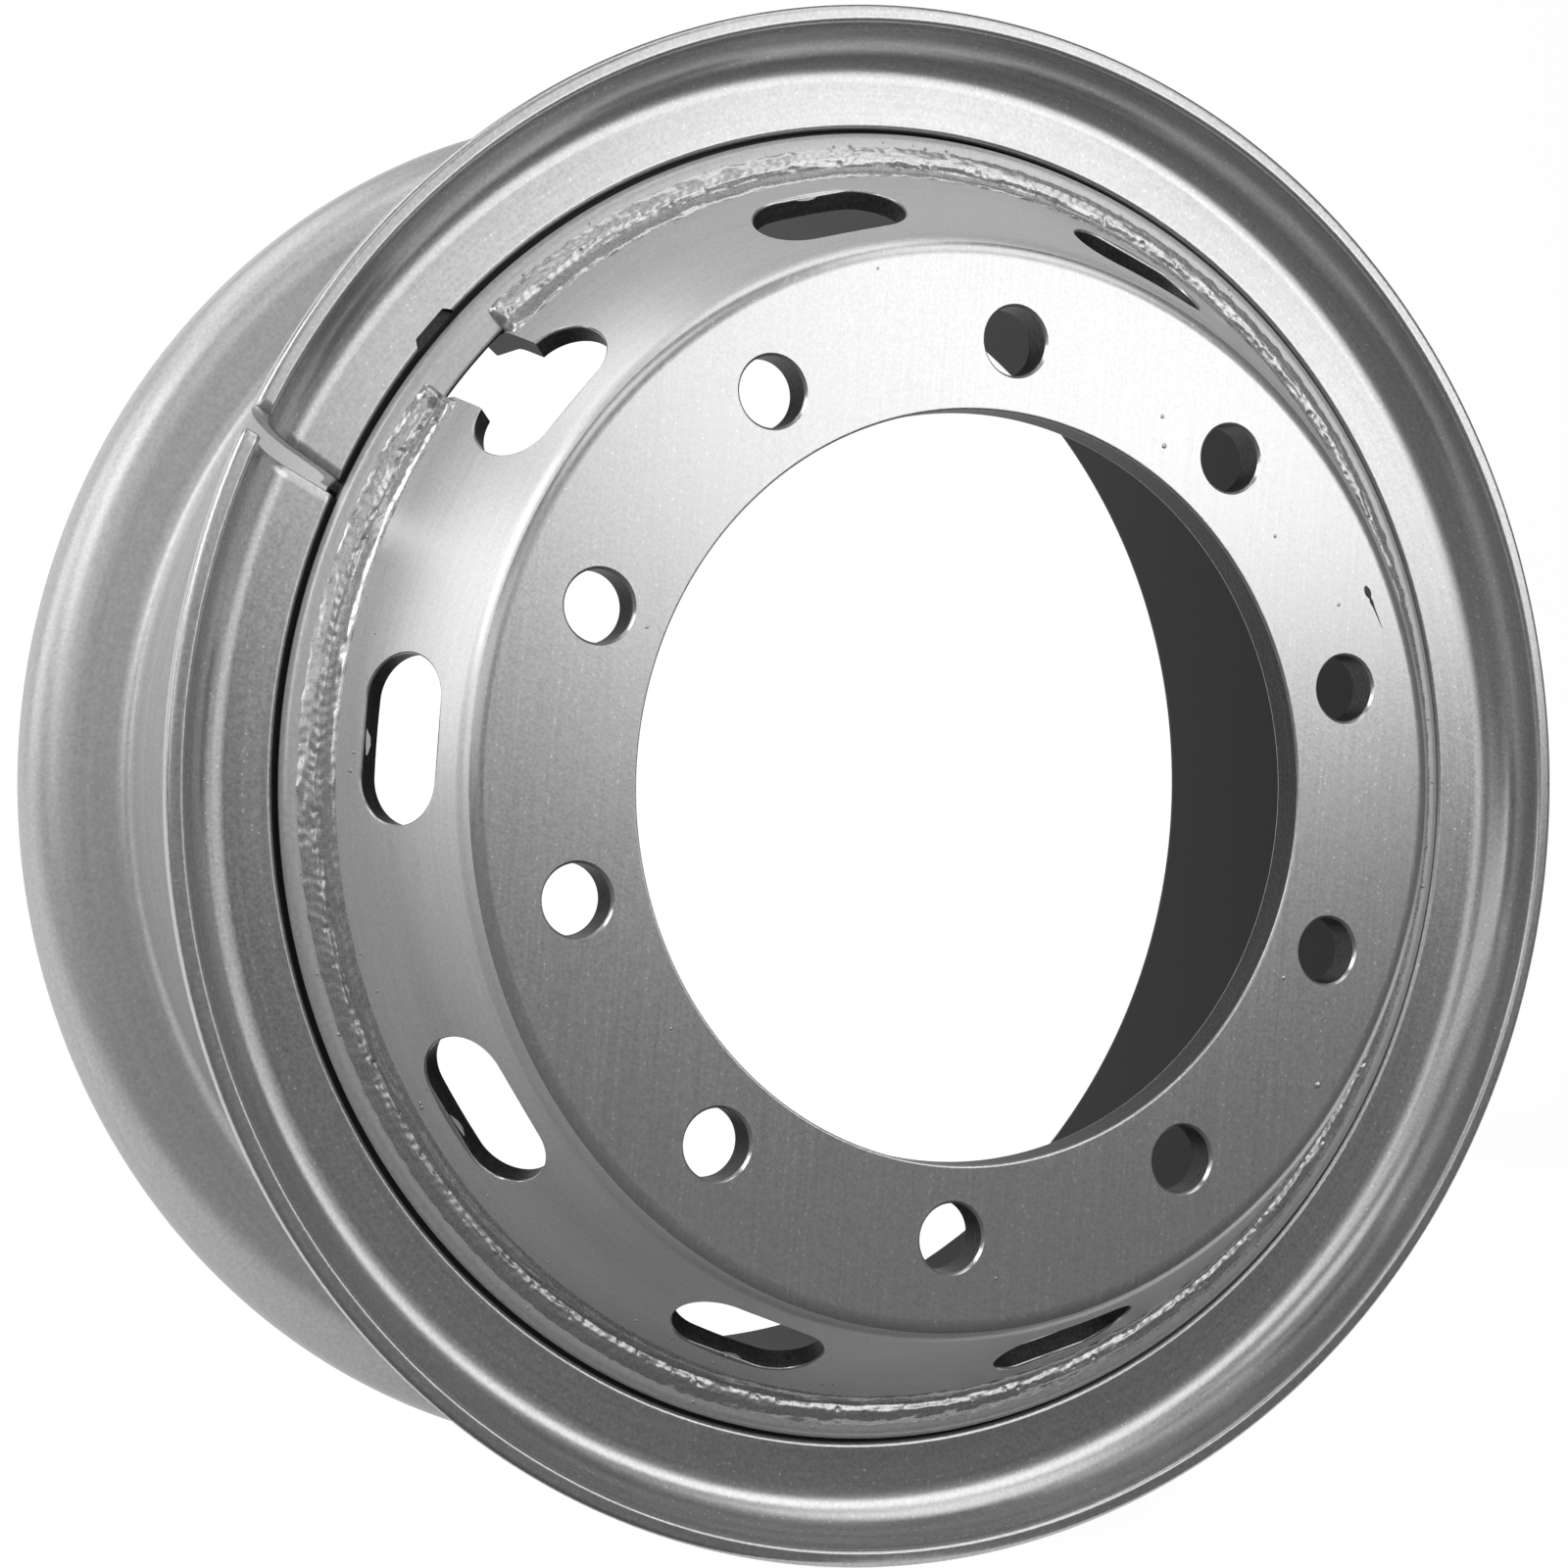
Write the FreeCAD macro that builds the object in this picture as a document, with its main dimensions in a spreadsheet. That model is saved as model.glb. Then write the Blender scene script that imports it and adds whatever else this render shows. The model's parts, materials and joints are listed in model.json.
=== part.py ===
import FreeCAD, Part
import math
import os
import re
import Sketcher

# A bare steel truck wheel of 20 inch for a tyre with an inner tube: a rolled rim with one fixed flange, a split
# side ring that springs into the rim's gutter, and a pressed disc welded into the gutter's mouth.
# The wheel turns about Y, the disc's outboard face looks along -Y and Z is up. The origin is on the axis, in the
# middle plane of the rim. Sections are drawn as (radius, place along Y) and turned about Y. Millimetres, degrees.

SIZES = {
    # rim section
    "rim_width": 190.5,
    "seat_radius": 257.2,
    "seat_length": 50.0,
    "seat_taper": 5.0,
    "seat_heel": 8.0,
    "flange_height": 41.3,
    "flange_wall": 7.0,
    "flange_curl": 20.0,
    "flange_lip": 2.25,
    "lip_round": 2.0,
    "base_wall": 6.5,
    "back_round": 7.0,
    # gutter at the rim's front edge
    "gutter_reach": 5.75,
    "gutter_lip": 7.0,
    "gutter_drop": 4.2,
    "gutter_depth": 6.0,
    "groove_width": 17.0,
    "gutter_wall": 10.0,
    "gutter_ramp": 7.0,
    "gutter_nose": 4.0,
    "gutter_edge": 2.5,
    # side ring
    "ring_front": 97.0,
    "ring_wall": 7.0,
    "ring_curl": 25.4,
    "ring_lip": 2.1,
    "ring_gap": 1.5,
    "ring_heel": 0.2,
    "ring_edge": 2.5,
    "split_width": 6.0,
    "split_mouth": 8.6,
    "split_angle": 159.2,
    "split_slant": 4.9,
    "pry_width": 20.0,
    "pry_depth": 4.0,
    # disc
    "disc_offset": 158.0,
    "disc_plate": 14.0,
    "bore_radius": 140.5,
    "cone_foot": 203.6,
    "face_bend": 10.0,
    "dish_bend": 8.0,
    "cone_wall": 8.0,
    "cone_root": 3.7,
    "skirt_wall": 8.0,
    "skirt_length": 26.7,
    "skirt_bend": 12.0,
    "stud_count": 10,
    "stud_circle": 335.0,
    "stud_hole": 26.0,
    "edge_chamfer": 1.0,
    "hand_radius": 220.2,
    "hand_length": 60.5,
    "hand_height": 33.0,
    # way of the tyre's valve
    "valve_angle": 144.0,
    "notch_width": 32.0,
    "slot_length": 34.0,
    "slot_width": 16.0,
    "slot_place": 22.0,
    # weld
    "weld_leg": 1.7,
    "weld_throat": 0.5,
    "weld_toe": 5.3,
    "weld_valley": 2.0,
    "weld_rise": 1.2,
    "weld_break": 46.0,
    # clearance of pieces that sit inside one another
    "seat_gap": 0.3,
}

# Places that several pieces share, as formulas of the sizes above. The cone's line meets the plane of the disc's
# face at cone_foot, and a bend rounds that corner. The wall between a hand hole and the skirt limits the bend there.
FLANGE_FACE = "rim_width / 2"
FLANGE_TOP = "(seat_radius + flange_height)"
CURL_FOOT = "(seat_radius + flange_height - flange_curl)"
LIP_FOOT = "(rim_width / 2 + flange_curl)"
LIP_END = "(rim_width / 2 + flange_curl + flange_lip)"
BASE_RADIUS = "(seat_radius - seat_length * tan(seat_taper))"
LIP_RADIUS = "(seat_radius - gutter_drop)"
GROOVE_RADIUS = "(seat_radius - gutter_drop - gutter_depth)"
GUTTER_INSIDE = "(seat_radius - gutter_drop - gutter_depth - gutter_wall)"
GUTTER_FRONT = "(-rim_width / 2 - gutter_reach)"
LIP_BACK = "(-rim_width / 2 - gutter_reach + gutter_lip)"
GROOVE_BACK = "(-rim_width / 2 - gutter_reach + gutter_lip + groove_width)"
RING_FRONT = "(-ring_front)"
RING_SEAT = "(ring_wall - ring_front)"
RING_FOOT = "(seat_radius + flange_height - ring_curl)"
RING_LIP_FOOT = "(ring_wall - ring_front - ring_curl)"
RING_LIP_END = "(ring_wall - ring_front - ring_curl - ring_lip)"
RING_EDGE = "(seat_radius - gutter_drop + ring_gap)"
RING_BACK = f"({GROOVE_BACK} - seat_gap)"
SKIRT_RADIUS = f"({GUTTER_INSIDE} - seat_gap)"
CONE_END = f"({GUTTER_FRONT} - cone_root)"
CONE_SLOPE = f"(({CONE_END} + disc_offset) / ({SKIRT_RADIUS} - cone_foot))"
CONE_STRETCH = f"sqrt(1 + {CONE_SLOPE} ^ 2)"
BEND_ROOM = (
    f"(({SKIRT_RADIUS} - skirt_wall - hand_radius) * {CONE_STRETCH} + cone_wall * {CONE_SLOPE} - hand_height / 2)"
)
SKIRT_BEND = f"min(skirt_bend; 0.9 * {BEND_ROOM} / ({CONE_STRETCH} - {CONE_SLOPE}))"
SPLIT_RADIUS = "(seat_radius + flange_height / 2)"


def formula(text):
    """A formula of sizes, as the document reads it: each size by its place in the sheet."""
    return re.sub(r"[a-z_]+", lambda word: f"Sizes.{word[0]}" if word[0] in SIZES else word[0], text)


def value(text):
    """The number that a formula gives now."""
    return float(sheet.evalExpression(formula(text)))


def size_sheet(document):
    """The driving sizes, one to a row: the name in column A and the number, under that name, in column B."""
    table = document.addObject("Spreadsheet::Sheet", "Sizes")
    for row, (name, number) in enumerate(SIZES.items(), start=1):
        table.set(f"A{row}", name)
        table.set(f"B{row}", str(number))
        table.setAlias(f"B{row}", name)
    document.recompute()
    return table


def settle(feature):
    """Recompute, and stop at the first feature that can't be made."""
    document.recompute()
    if {"Invalid", "Error"} & set(feature.State):
        raise RuntimeError(f"{feature.Name} can't be made: {feature.getStatusString()}")


def new_body(label):
    body = document.addObject("PartDesign::Body", label)
    body.Label = label
    body.Placement = FreeCAD.Placement()
    return body


def origin_feature(body, role):
    return next(feature for feature in body.Origin.OriginFeatures if feature.Role == role)


def new_sketch(body, name, plane):
    sketch = body.newObject("Sketcher::SketchObject", name)
    sketch.AttachmentSupport = [(origin_feature(body, plane), "")]
    sketch.MapMode = "FlatFace"
    return sketch


def shift_sketch(sketch, axis=(0, 0, 1), angle="0", **base):
    """Turn a sketch about an axis of its own plane and move it, each by a formula."""
    sketch.AttachmentOffset = FreeCAD.Placement(
        FreeCAD.Vector(*(value(base.get(side, "0")) for side in "xyz")),
        FreeCAD.Rotation(FreeCAD.Vector(*axis), value(angle)),
    )
    for side, text in base.items():
        sketch.setExpression(f"AttachmentOffset.Base.{side}", formula(text))
    sketch.setExpression("AttachmentOffset.Rotation.Angle", formula(angle))


def bind(sketch, kind, *items, text):
    """Add a constraint whose number follows a formula."""
    index = sketch.addConstraint(Sketcher.Constraint(kind, *items, value(text)))
    sketch.setExpression(f"Constraints[{index}]", formula(text))


def draw_outline(sketch, corners):
    """A closed outline. A corner is (x, y), or (x, y, radius, turn) where an arc leads to it: turn is 1 for an
    arc that goes anticlockwise and -1 for one that goes clockwise."""
    points = [FreeCAD.Vector(value(corner[0]), value(corner[1]), 0) for corner in corners]
    first_end, last_end = [], []
    for index, corner in enumerate(corners):
        start, end = points[index - 1], points[index]
        if len(corner) == 2:
            sketch.addGeometry(Part.LineSegment(start, end))
            first_end.append(1)
            last_end.append(2)
        else:
            radius, turn = value(corner[2]), corner[3]
            chord = end - start
            aside = FreeCAD.Vector(chord.y, -chord.x, 0).normalize() * turn
            height = radius - (radius ** 2 - chord.Length ** 2 / 4) ** 0.5
            sketch.addGeometry(Part.Arc(start, (start + end) / 2 + aside * height, end))
            first_end.append(1 if turn > 0 else 2)
            last_end.append(2 if turn > 0 else 1)
    for index, corner in enumerate(corners):
        following = (index + 1) % len(corners)
        sketch.addConstraint(
            Sketcher.Constraint("Coincident", index, last_end[index], following, first_end[following])
        )
        bind(sketch, "DistanceX", -1, 1, index, last_end[index], text=corner[0])
        bind(sketch, "DistanceY", -1, 1, index, last_end[index], text=corner[1])
        if len(corner) > 2:
            bind(sketch, "Radius", index, text=corner[2])


def draw_slot(sketch, length, height, centre="0", lengthwise="y"):
    """A slot with round ends and its middle at (centre, 0): lengthwise is the sketch's axis that it runs along."""
    first_turn = {"x": -90, "y": 0}[lengthwise]
    places = []
    for index, sign in enumerate("+-"):
        place = {"x": centre, "y": "0"}
        place[lengthwise] += f" {sign} ({length} - {height}) / 2"
        places.append(place)
        middle = FreeCAD.Vector(value(place["x"]), value(place["y"]), 0)
        circle = Part.Circle(middle, FreeCAD.Vector(0, 0, 1), value(f"{height} / 2"))
        start = math.radians(first_turn + 180 * index)
        sketch.addGeometry(Part.ArcOfCircle(circle, start, start + math.pi))
    near, far = sketch.Geometry
    sketch.addGeometry(Part.LineSegment(near.EndPoint, far.StartPoint))
    sketch.addGeometry(Part.LineSegment(far.EndPoint, near.StartPoint))
    for before, after in ((0, 2), (2, 1), (1, 3), (3, 0)):
        sketch.addConstraint(Sketcher.Constraint("Tangent", before, 2, after, 1))
    for index, place in enumerate(places):
        bind(sketch, "DistanceX", -1, 1, index, 3, text=place["x"])
        bind(sketch, "DistanceY", -1, 1, index, 3, text=place["y"])
    bind(sketch, "Radius", 0, text=f"{height} / 2")


def revolve(body, name, corners):
    """Turn a section about the wheel's axis."""
    sketch = new_sketch(body, f"{name}_section", "XY_Plane")
    draw_outline(sketch, corners)
    turned = body.newObject("PartDesign::Revolution", name)
    turned.Profile = sketch
    turned.ReferenceAxis = (sketch, ["V_Axis"])
    turned.Angle = 360
    settle(turned)


def hoops(shape, radius, along):
    """Names of the round edges about the wheel's axis with this radius at this place."""
    return [
        f"Edge{index}"
        for index, edge in enumerate(shape.Edges, start=1)
        if isinstance(edge.Curve, Part.Circle)
        and abs(edge.Curve.Radius - value(radius)) < 1e-4
        and abs(edge.Curve.Center.y - value(along)) < 1e-4
    ]


def dress(body, kind, name, size, edges):
    """Round or bevel edges of what the body is so far: kind is Fillet or Chamfer."""
    base = body.Tip
    feature = body.newObject(f"PartDesign::{kind}", name)
    feature.Base = (base, edges)
    feature.setExpression("Radius" if kind == "Fillet" else "Size", formula(size))
    settle(feature)


def round_hoops(body, name, size, places):
    shape = body.Tip.Shape
    dress(body, "Fillet", name, size, [edge for place in places for edge in hoops(shape, *place)])


def cut(body, name, sketch, depth=None, reverse=False, both_ways=False):
    """Cut a sketch out of a body, right through unless a depth is given, and check that something went."""
    before = body.Tip.Shape.Volume
    pocket = body.newObject("PartDesign::Pocket", name)
    pocket.Profile = sketch
    pocket.Reversed = reverse
    if depth is None:
        pocket.Type = "ThroughAll"
    else:
        pocket.Type = "Length"
        pocket.setExpression("Length", formula(depth))
    if both_ways:
        pocket.SideType = "Symmetric"
    settle(pocket)
    if not pocket.Shape.Volume < before - 1:
        raise RuntimeError(f"{name} cuts nothing")
    return pocket


def repeat_round(body, name, feature, count):
    """Repeat a cut evenly round the wheel's axis."""
    pattern = body.newObject("PartDesign::PolarPattern", name)
    pattern.Originals = [feature]
    pattern.Axis = (origin_feature(body, "Y_Axis"), [""])
    pattern.Angle = 360
    pattern.setExpression("Occurrences", formula(count))
    body.Tip = pattern
    settle(pattern)


def radial_gap(body, name, angle, inside, outside, width, mouth=None, **along):
    """A straight-sided sketch across the axis, at an angle round it, from one radius to another: as wide as
    width at the inside, and at the outside too unless mouth is given."""
    sketch = new_sketch(body, f"{name}_sketch", "XZ_Plane")
    shift_sketch(sketch, angle=angle, **along)
    near, far = f"({width}) / 2", f"({mouth or width}) / 2"
    draw_outline(sketch, [(inside, f"-{near}"), (outside, f"-{far}"), (outside, far), (inside, near)])
    return sketch


def make_rim_base():
    """The rolled rim: gutter with its lip, drum, tapered seat and the fixed flange, and the valve's slot."""
    body = new_body("rim_base")
    flange_back = f"({FLANGE_FACE} + flange_wall)"
    base_inside = f"({BASE_RADIUS} - base_wall)"
    revolve(body, "rim_hoop", [
        (GUTTER_INSIDE, GUTTER_FRONT),
        (LIP_RADIUS, GUTTER_FRONT),
        (LIP_RADIUS, LIP_BACK),
        (GROOVE_RADIUS, LIP_BACK),
        (GROOVE_RADIUS, GROOVE_BACK),
        (BASE_RADIUS, GROOVE_BACK),
        (BASE_RADIUS, f"{FLANGE_FACE} - seat_length"),
        ("seat_radius", FLANGE_FACE),
        (CURL_FOOT, FLANGE_FACE),
        (FLANGE_TOP, LIP_FOOT, "flange_curl", 1),
        (FLANGE_TOP, LIP_END),
        (f"{FLANGE_TOP} - flange_wall", LIP_END),
        (f"{FLANGE_TOP} - flange_wall", LIP_FOOT),
        (CURL_FOOT, flange_back, "flange_curl - flange_wall", -1),
        (base_inside, flange_back),
        (base_inside, f"{GROOVE_BACK} + gutter_ramp"),
        (GUTTER_INSIDE, GROOVE_BACK),
    ])
    round_hoops(body, "nose_round", "gutter_nose", [(LIP_RADIUS, GUTTER_FRONT)])
    round_hoops(body, "mouth_round", "gutter_edge", [(GUTTER_INSIDE, GUTTER_FRONT)])
    round_hoops(body, "heel_round", "seat_heel", [("seat_radius", FLANGE_FACE)])
    round_hoops(body, "back_corner_round", "back_round", [(base_inside, flange_back)])
    round_hoops(body, "flange_lip_round", "lip_round", [
        (FLANGE_TOP, LIP_END),
        (f"{FLANGE_TOP} - flange_wall", LIP_END),
    ])
    slot = new_sketch(body, "valve_slot_sketch", "YZ_Plane")
    shift_sketch(slot, axis=(-1, 0, 0), angle="valve_angle")
    draw_slot(slot, "slot_length", "slot_width", f"{GROOVE_BACK} + gutter_ramp + slot_place", "x")
    cut(body, "valve_slot", slot, reverse=True)
    return body


def make_side_ring():
    """The split ring: a toe that fills the gutter, a plate up to the curled lip, the split and the pry notch."""
    body = new_body("side_ring")
    toe_radius = f"({GROOVE_RADIUS} + seat_gap)"
    heel_radius = "(seat_radius - ring_heel)"
    revolve(body, "ring_hoop", [
        (FLANGE_TOP, RING_LIP_END),
        (f"{FLANGE_TOP} - ring_wall", RING_LIP_END),
        (f"{FLANGE_TOP} - ring_wall", RING_LIP_FOOT),
        (RING_FOOT, RING_FRONT, "ring_curl - ring_wall", 1),
        (RING_EDGE, RING_FRONT),
        (RING_EDGE, LIP_BACK),
        (toe_radius, LIP_BACK),
        (toe_radius, RING_BACK),
        (heel_radius, RING_BACK),
        (heel_radius, RING_SEAT),
        (RING_FOOT, RING_SEAT),
        (FLANGE_TOP, RING_LIP_FOOT, "ring_curl", -1),
    ])
    round_hoops(body, "ring_lip_round", "lip_round", [
        (FLANGE_TOP, RING_LIP_END),
        (f"{FLANGE_TOP} - ring_wall", RING_LIP_END),
    ])
    round_hoops(body, "ring_edge_round", "ring_edge", [(RING_EDGE, RING_FRONT)])
    round_hoops(body, "ring_heel_round", "seat_heel", [(heel_radius, RING_SEAT)])
    notch = radial_gap(
        body, "pry_notch", "valve_angle", GROOVE_RADIUS, f"{RING_EDGE} + pry_depth", "pry_width",
        z=f"-{RING_FRONT}",
    )
    cut(body, "pry_notch", notch, depth=f"{LIP_BACK} - {RING_FRONT}")
    # The gap is split_width at the seat and split_mouth at the lip, and its sides run on past both.
    split = radial_gap(
        body, "split", "split_angle - split_slant", "-flange_height", "flange_height",
        "(3 * split_width - split_mouth) / 2", "(3 * split_mouth - split_width) / 2",
        x=f"{SPLIT_RADIUS} * cos(split_angle)", y=f"{SPLIT_RADIUS} * sin(split_angle)",
    )
    cut(body, "split", split, reverse=True)
    return body


def make_wheel_disc():
    """The pressed disc: flat centre with bore and stud holes, cone with hand holes, skirt, valve notch."""
    body = new_body("wheel_disc")
    face = "-disc_offset"
    plate_back = "(disc_plate - disc_offset)"
    skirt_end = f"({CONE_END} + skirt_length)"
    skirt_inside = f"({SKIRT_RADIUS} - skirt_wall)"
    dish_radius = f"(cone_foot + (disc_plate - cone_wall * {CONE_STRETCH}) / {CONE_SLOPE})"
    dish_end = f"(({skirt_inside} - cone_foot) * {CONE_SLOPE} + cone_wall * {CONE_STRETCH} - disc_offset)"
    revolve(body, "disc_dish", [
        ("bore_radius", face),
        ("cone_foot", face),
        (SKIRT_RADIUS, CONE_END),
        (SKIRT_RADIUS, skirt_end),
        (skirt_inside, skirt_end),
        (skirt_inside, dish_end),
        (dish_radius, plate_back),
        ("bore_radius", plate_back),
    ])
    round_hoops(body, "face_round", "face_bend", [("cone_foot", face)])
    round_hoops(body, "dish_round", "dish_bend", [(dish_radius, plate_back)])
    round_hoops(body, "skirt_round", SKIRT_BEND, [(skirt_inside, dish_end)])

    studs = new_sketch(body, "stud_hole_sketch", "XZ_Plane")
    studs.addGeometry(Part.Circle(FreeCAD.Vector(0, value("stud_circle / 2"), 0),
                                  FreeCAD.Vector(0, 0, 1), value("stud_hole / 2")))
    studs.addConstraint(Sketcher.Constraint("PointOnObject", 0, 3, -2))
    bind(studs, "DistanceY", -1, 1, 0, 3, text="stud_circle / 2")
    bind(studs, "Radius", 0, text="stud_hole / 2")
    stud_hole = cut(body, "stud_hole", studs, reverse=True)
    repeat_round(body, "stud_holes", stud_hole, "stud_count")

    hand = new_sketch(body, "hand_hole_sketch", "YZ_Plane")
    shift_sketch(
        hand, axis=(0, -1, 0), angle=f"atan(1 / {CONE_SLOPE})",
        x=f"(hand_radius - cone_foot) * {CONE_SLOPE} - disc_offset", z="hand_radius",
    )
    draw_slot(hand, "hand_length", "hand_height")
    hand_hole = cut(body, "hand_hole", hand, depth="4 * cone_wall", both_ways=True)
    repeat_round(body, "hand_holes", hand_hole, "stud_count")

    notch = radial_gap(
        body, "valve_notch", "valve_angle", "hand_radius", f"{SKIRT_RADIUS} + skirt_wall", "notch_width",
    )
    cut(body, "valve_notch", notch, reverse=True)

    shape = body.Tip.Shape
    rims = [edge for along in (face, plate_back) for edge in hoops(shape, "bore_radius", along)]
    rims += [edge for along in (face, plate_back) for edge in hoops(shape, "stud_hole / 2", along)]
    dress(body, "Chamfer", "edge_bevels", "edge_chamfer", rims)
    return body


def make_disc_weld():
    """The weld bead in the corner between the disc's cone and the gutter's face, broken at the valve notch."""
    body = new_body("disc_weld")
    leg_radius = f"({SKIRT_RADIUS} - weld_leg)"
    revolve(body, "weld_hoop", [
        (leg_radius, f"{CONE_END} - weld_leg * {CONE_SLOPE}"),
        (SKIRT_RADIUS, CONE_END),
        (SKIRT_RADIUS, GUTTER_FRONT),
        (f"{GUTTER_INSIDE} + weld_toe", GUTTER_FRONT),
        (f"{GUTTER_INSIDE} + weld_valley", f"{GUTTER_FRONT} - weld_rise"),
        (SKIRT_RADIUS, f"{CONE_END} - weld_throat"),
    ])
    gap = radial_gap(
        body, "weld_gap", "valve_angle", "hand_radius", f"{GUTTER_INSIDE} + 2 * weld_toe", "weld_break",
    )
    cut(body, "weld_gap", gap, reverse=True)
    return body


def check(bodies):
    """Stop unless every object is sound and every piece is one valid solid."""
    document.recompute()
    failed = [item.Name for item in document.Objects if {"Invalid", "Error"} & set(item.State)]
    failed += [
        body.Label
        for body in bodies
        if body.Shape.isNull() or not body.Shape.isValid() or len(body.Shape.Solids) != 1
    ]
    if failed:
        raise RuntimeError("not sound: " + ", ".join(failed))


document = FreeCAD.newDocument("truck_wheel")
sheet = size_sheet(document)
pieces = [make_rim_base(), make_side_ring(), make_wheel_disc(), make_disc_weld()]
check(pieces)
os.makedirs("parts", exist_ok=True)
for piece in pieces:
    piece.Shape.exportStep(os.path.join("parts", f"{piece.Label}.step"))
    box = piece.Shape.optimalBoundingBox()
    print(f"{piece.Label}: {len(piece.Shape.Faces)} faces, {box.XLength:.1f} mm across, "
          f"from {box.YMin:.1f} to {box.YMax:.1f} along Y")
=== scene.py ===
# %% [markdown]
# # A steel truck wheel in silver paint
# The wheel is four pieces of steel: a rolled rim, a split ring that springs into the rim's gutter, a
# pressed disc, and the weld that joins the disc to the gutter. The CAD model holds their true sizes, so the
# lesson starts by loading it. Every piece that we make here stands in the place of one CAD node and keeps
# its size.

# %% Load the CAD model
import bmesh
import bpy
import json
import math
import numpy as np
from mathutils import Matrix, Vector, noise

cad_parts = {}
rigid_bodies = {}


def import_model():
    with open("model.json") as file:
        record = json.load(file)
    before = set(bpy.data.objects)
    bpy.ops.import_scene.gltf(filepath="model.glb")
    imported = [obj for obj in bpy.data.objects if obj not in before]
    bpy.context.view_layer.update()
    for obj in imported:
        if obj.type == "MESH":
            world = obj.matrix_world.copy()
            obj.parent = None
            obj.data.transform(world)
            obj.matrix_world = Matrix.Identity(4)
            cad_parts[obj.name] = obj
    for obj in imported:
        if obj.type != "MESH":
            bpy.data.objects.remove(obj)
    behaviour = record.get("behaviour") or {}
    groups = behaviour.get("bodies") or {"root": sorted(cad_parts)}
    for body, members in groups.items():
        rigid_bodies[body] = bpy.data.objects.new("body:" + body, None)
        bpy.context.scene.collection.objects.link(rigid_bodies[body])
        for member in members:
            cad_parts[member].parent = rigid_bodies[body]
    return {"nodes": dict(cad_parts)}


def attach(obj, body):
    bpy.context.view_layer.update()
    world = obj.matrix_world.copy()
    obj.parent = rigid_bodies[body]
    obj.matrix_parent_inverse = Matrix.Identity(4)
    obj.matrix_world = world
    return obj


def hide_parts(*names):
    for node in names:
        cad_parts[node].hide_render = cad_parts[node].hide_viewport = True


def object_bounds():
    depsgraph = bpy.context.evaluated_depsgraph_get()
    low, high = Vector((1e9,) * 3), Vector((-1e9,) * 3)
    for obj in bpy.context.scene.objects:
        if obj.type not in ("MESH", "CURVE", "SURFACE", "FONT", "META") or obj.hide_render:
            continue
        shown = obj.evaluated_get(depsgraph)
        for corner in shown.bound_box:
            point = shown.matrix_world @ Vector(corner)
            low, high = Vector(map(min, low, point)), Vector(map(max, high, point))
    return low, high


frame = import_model()
cad_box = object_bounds()
MM = 0.001
print("CAD nodes:", ", ".join(sorted(frame["nodes"])))

# %% [markdown]
# ## Sections
# Almost everything on a wheel is a section turned about the axle. We write a section as corners in
# millimetres, (radius, place along Y, rounding), because that is how the drawing for a rolling mill gives
# it. One helper rounds the corners. It also puts an extra point close to each end of a straight run:
# without those points, smooth shading would smear the bend over the whole flat beside it.

# %% Rounded sections
ARC_STEP = math.radians(9)
SMALL_BEND = 4.0
GUARD = 0.35
SHORTEST_GUARD = 0.01


def rounded(corners):
    """The closed outline of a section, with arcs in place of the corners."""
    points = [Vector(corner[:2]) for corner in corners]
    ways = [(points[index] - points[index - 1]).normalized() for index in range(len(points))]
    ways.append(ways[0])
    arcs = []
    for index, corner in enumerate(points):
        bend = corners[index][2]
        before, after = -ways[index], ways[index + 1]
        half = before.angle(after) / 2
        reach = bend / math.tan(half)
        middle = corner + (before + after).normalized() * bend / math.sin(half)
        first = (corner + before * reach - middle) / bend
        last = (corner + after * reach - middle) / bend
        steps = max(2, round((math.pi - 2 * half) / ARC_STEP * min(1, math.sqrt(bend / SMALL_BEND))))
        arcs.append([middle + first.slerp(last, step / steps) * bend for step in range(steps + 1)])
    outline = []
    for arc, following, way in zip(arcs, arcs[1:] + arcs[:1], ways[1:]):
        straight = (following[0] - arc[-1]).dot(way)
        guard = min(GUARD, straight / 3)
        outline += arc
        if guard > SHORTEST_GUARD:
            outline += [arc[-1] + way * guard, following[0] - way * guard]
    return np.array(outline)


def band_middles(outline):
    """The middle of each band of faces that an outline gives: its radius and its place along the axle."""
    return ((outline + np.roll(outline, -1, axis=0)) / 2).T


# %% [markdown]
# ## Skins
# A skin is a mesh drawn over a row of rings, each with as many points as the next. A full hoop closes on
# itself; a bead or a cutter is open and gets a cap at each end. Nearly every shape in this lesson is such a
# skin, so this is the one place where faces are made.

# %% Skins over rows of rings
HOOP_STEPS = 480


def around(outline, degrees):
    """An outline of (radius, along) in millimetres, placed at an angle round the axle, in metres."""
    turn = np.radians(degrees)
    radius, along = outline[:, 0], outline[:, 1]
    return np.stack([radius * np.cos(turn), along, radius * np.sin(turn)], axis=1) * MM


def skin(name, rings, closed=False):
    """A mesh over rings of points, closed on itself or capped at both ends."""
    rings = np.array(rings)
    count, points = rings.shape[:2]
    index = np.arange(count * points).reshape(count, points)
    near = index if closed else index[:-1]
    far = np.roll(index, -1, axis=0) if closed else index[1:]
    quads = np.stack([near, np.roll(near, -1, axis=1), np.roll(far, -1, axis=1), far], axis=-1)
    faces = quads.reshape(-1, 4).tolist()
    if not closed:
        faces += [index[0].tolist(), index[-1].tolist()]
    mesh = bpy.data.meshes.new(name)
    mesh.from_pydata(rings.reshape(-1, 3), [], faces)
    facing = bmesh.new()
    facing.from_mesh(mesh)
    bmesh.ops.recalc_face_normals(facing, faces=facing.faces)
    facing.to_mesh(mesh)
    facing.free()
    piece = bpy.data.objects.new(name, mesh)
    bpy.context.scene.collection.objects.link(piece)
    return piece


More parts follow.
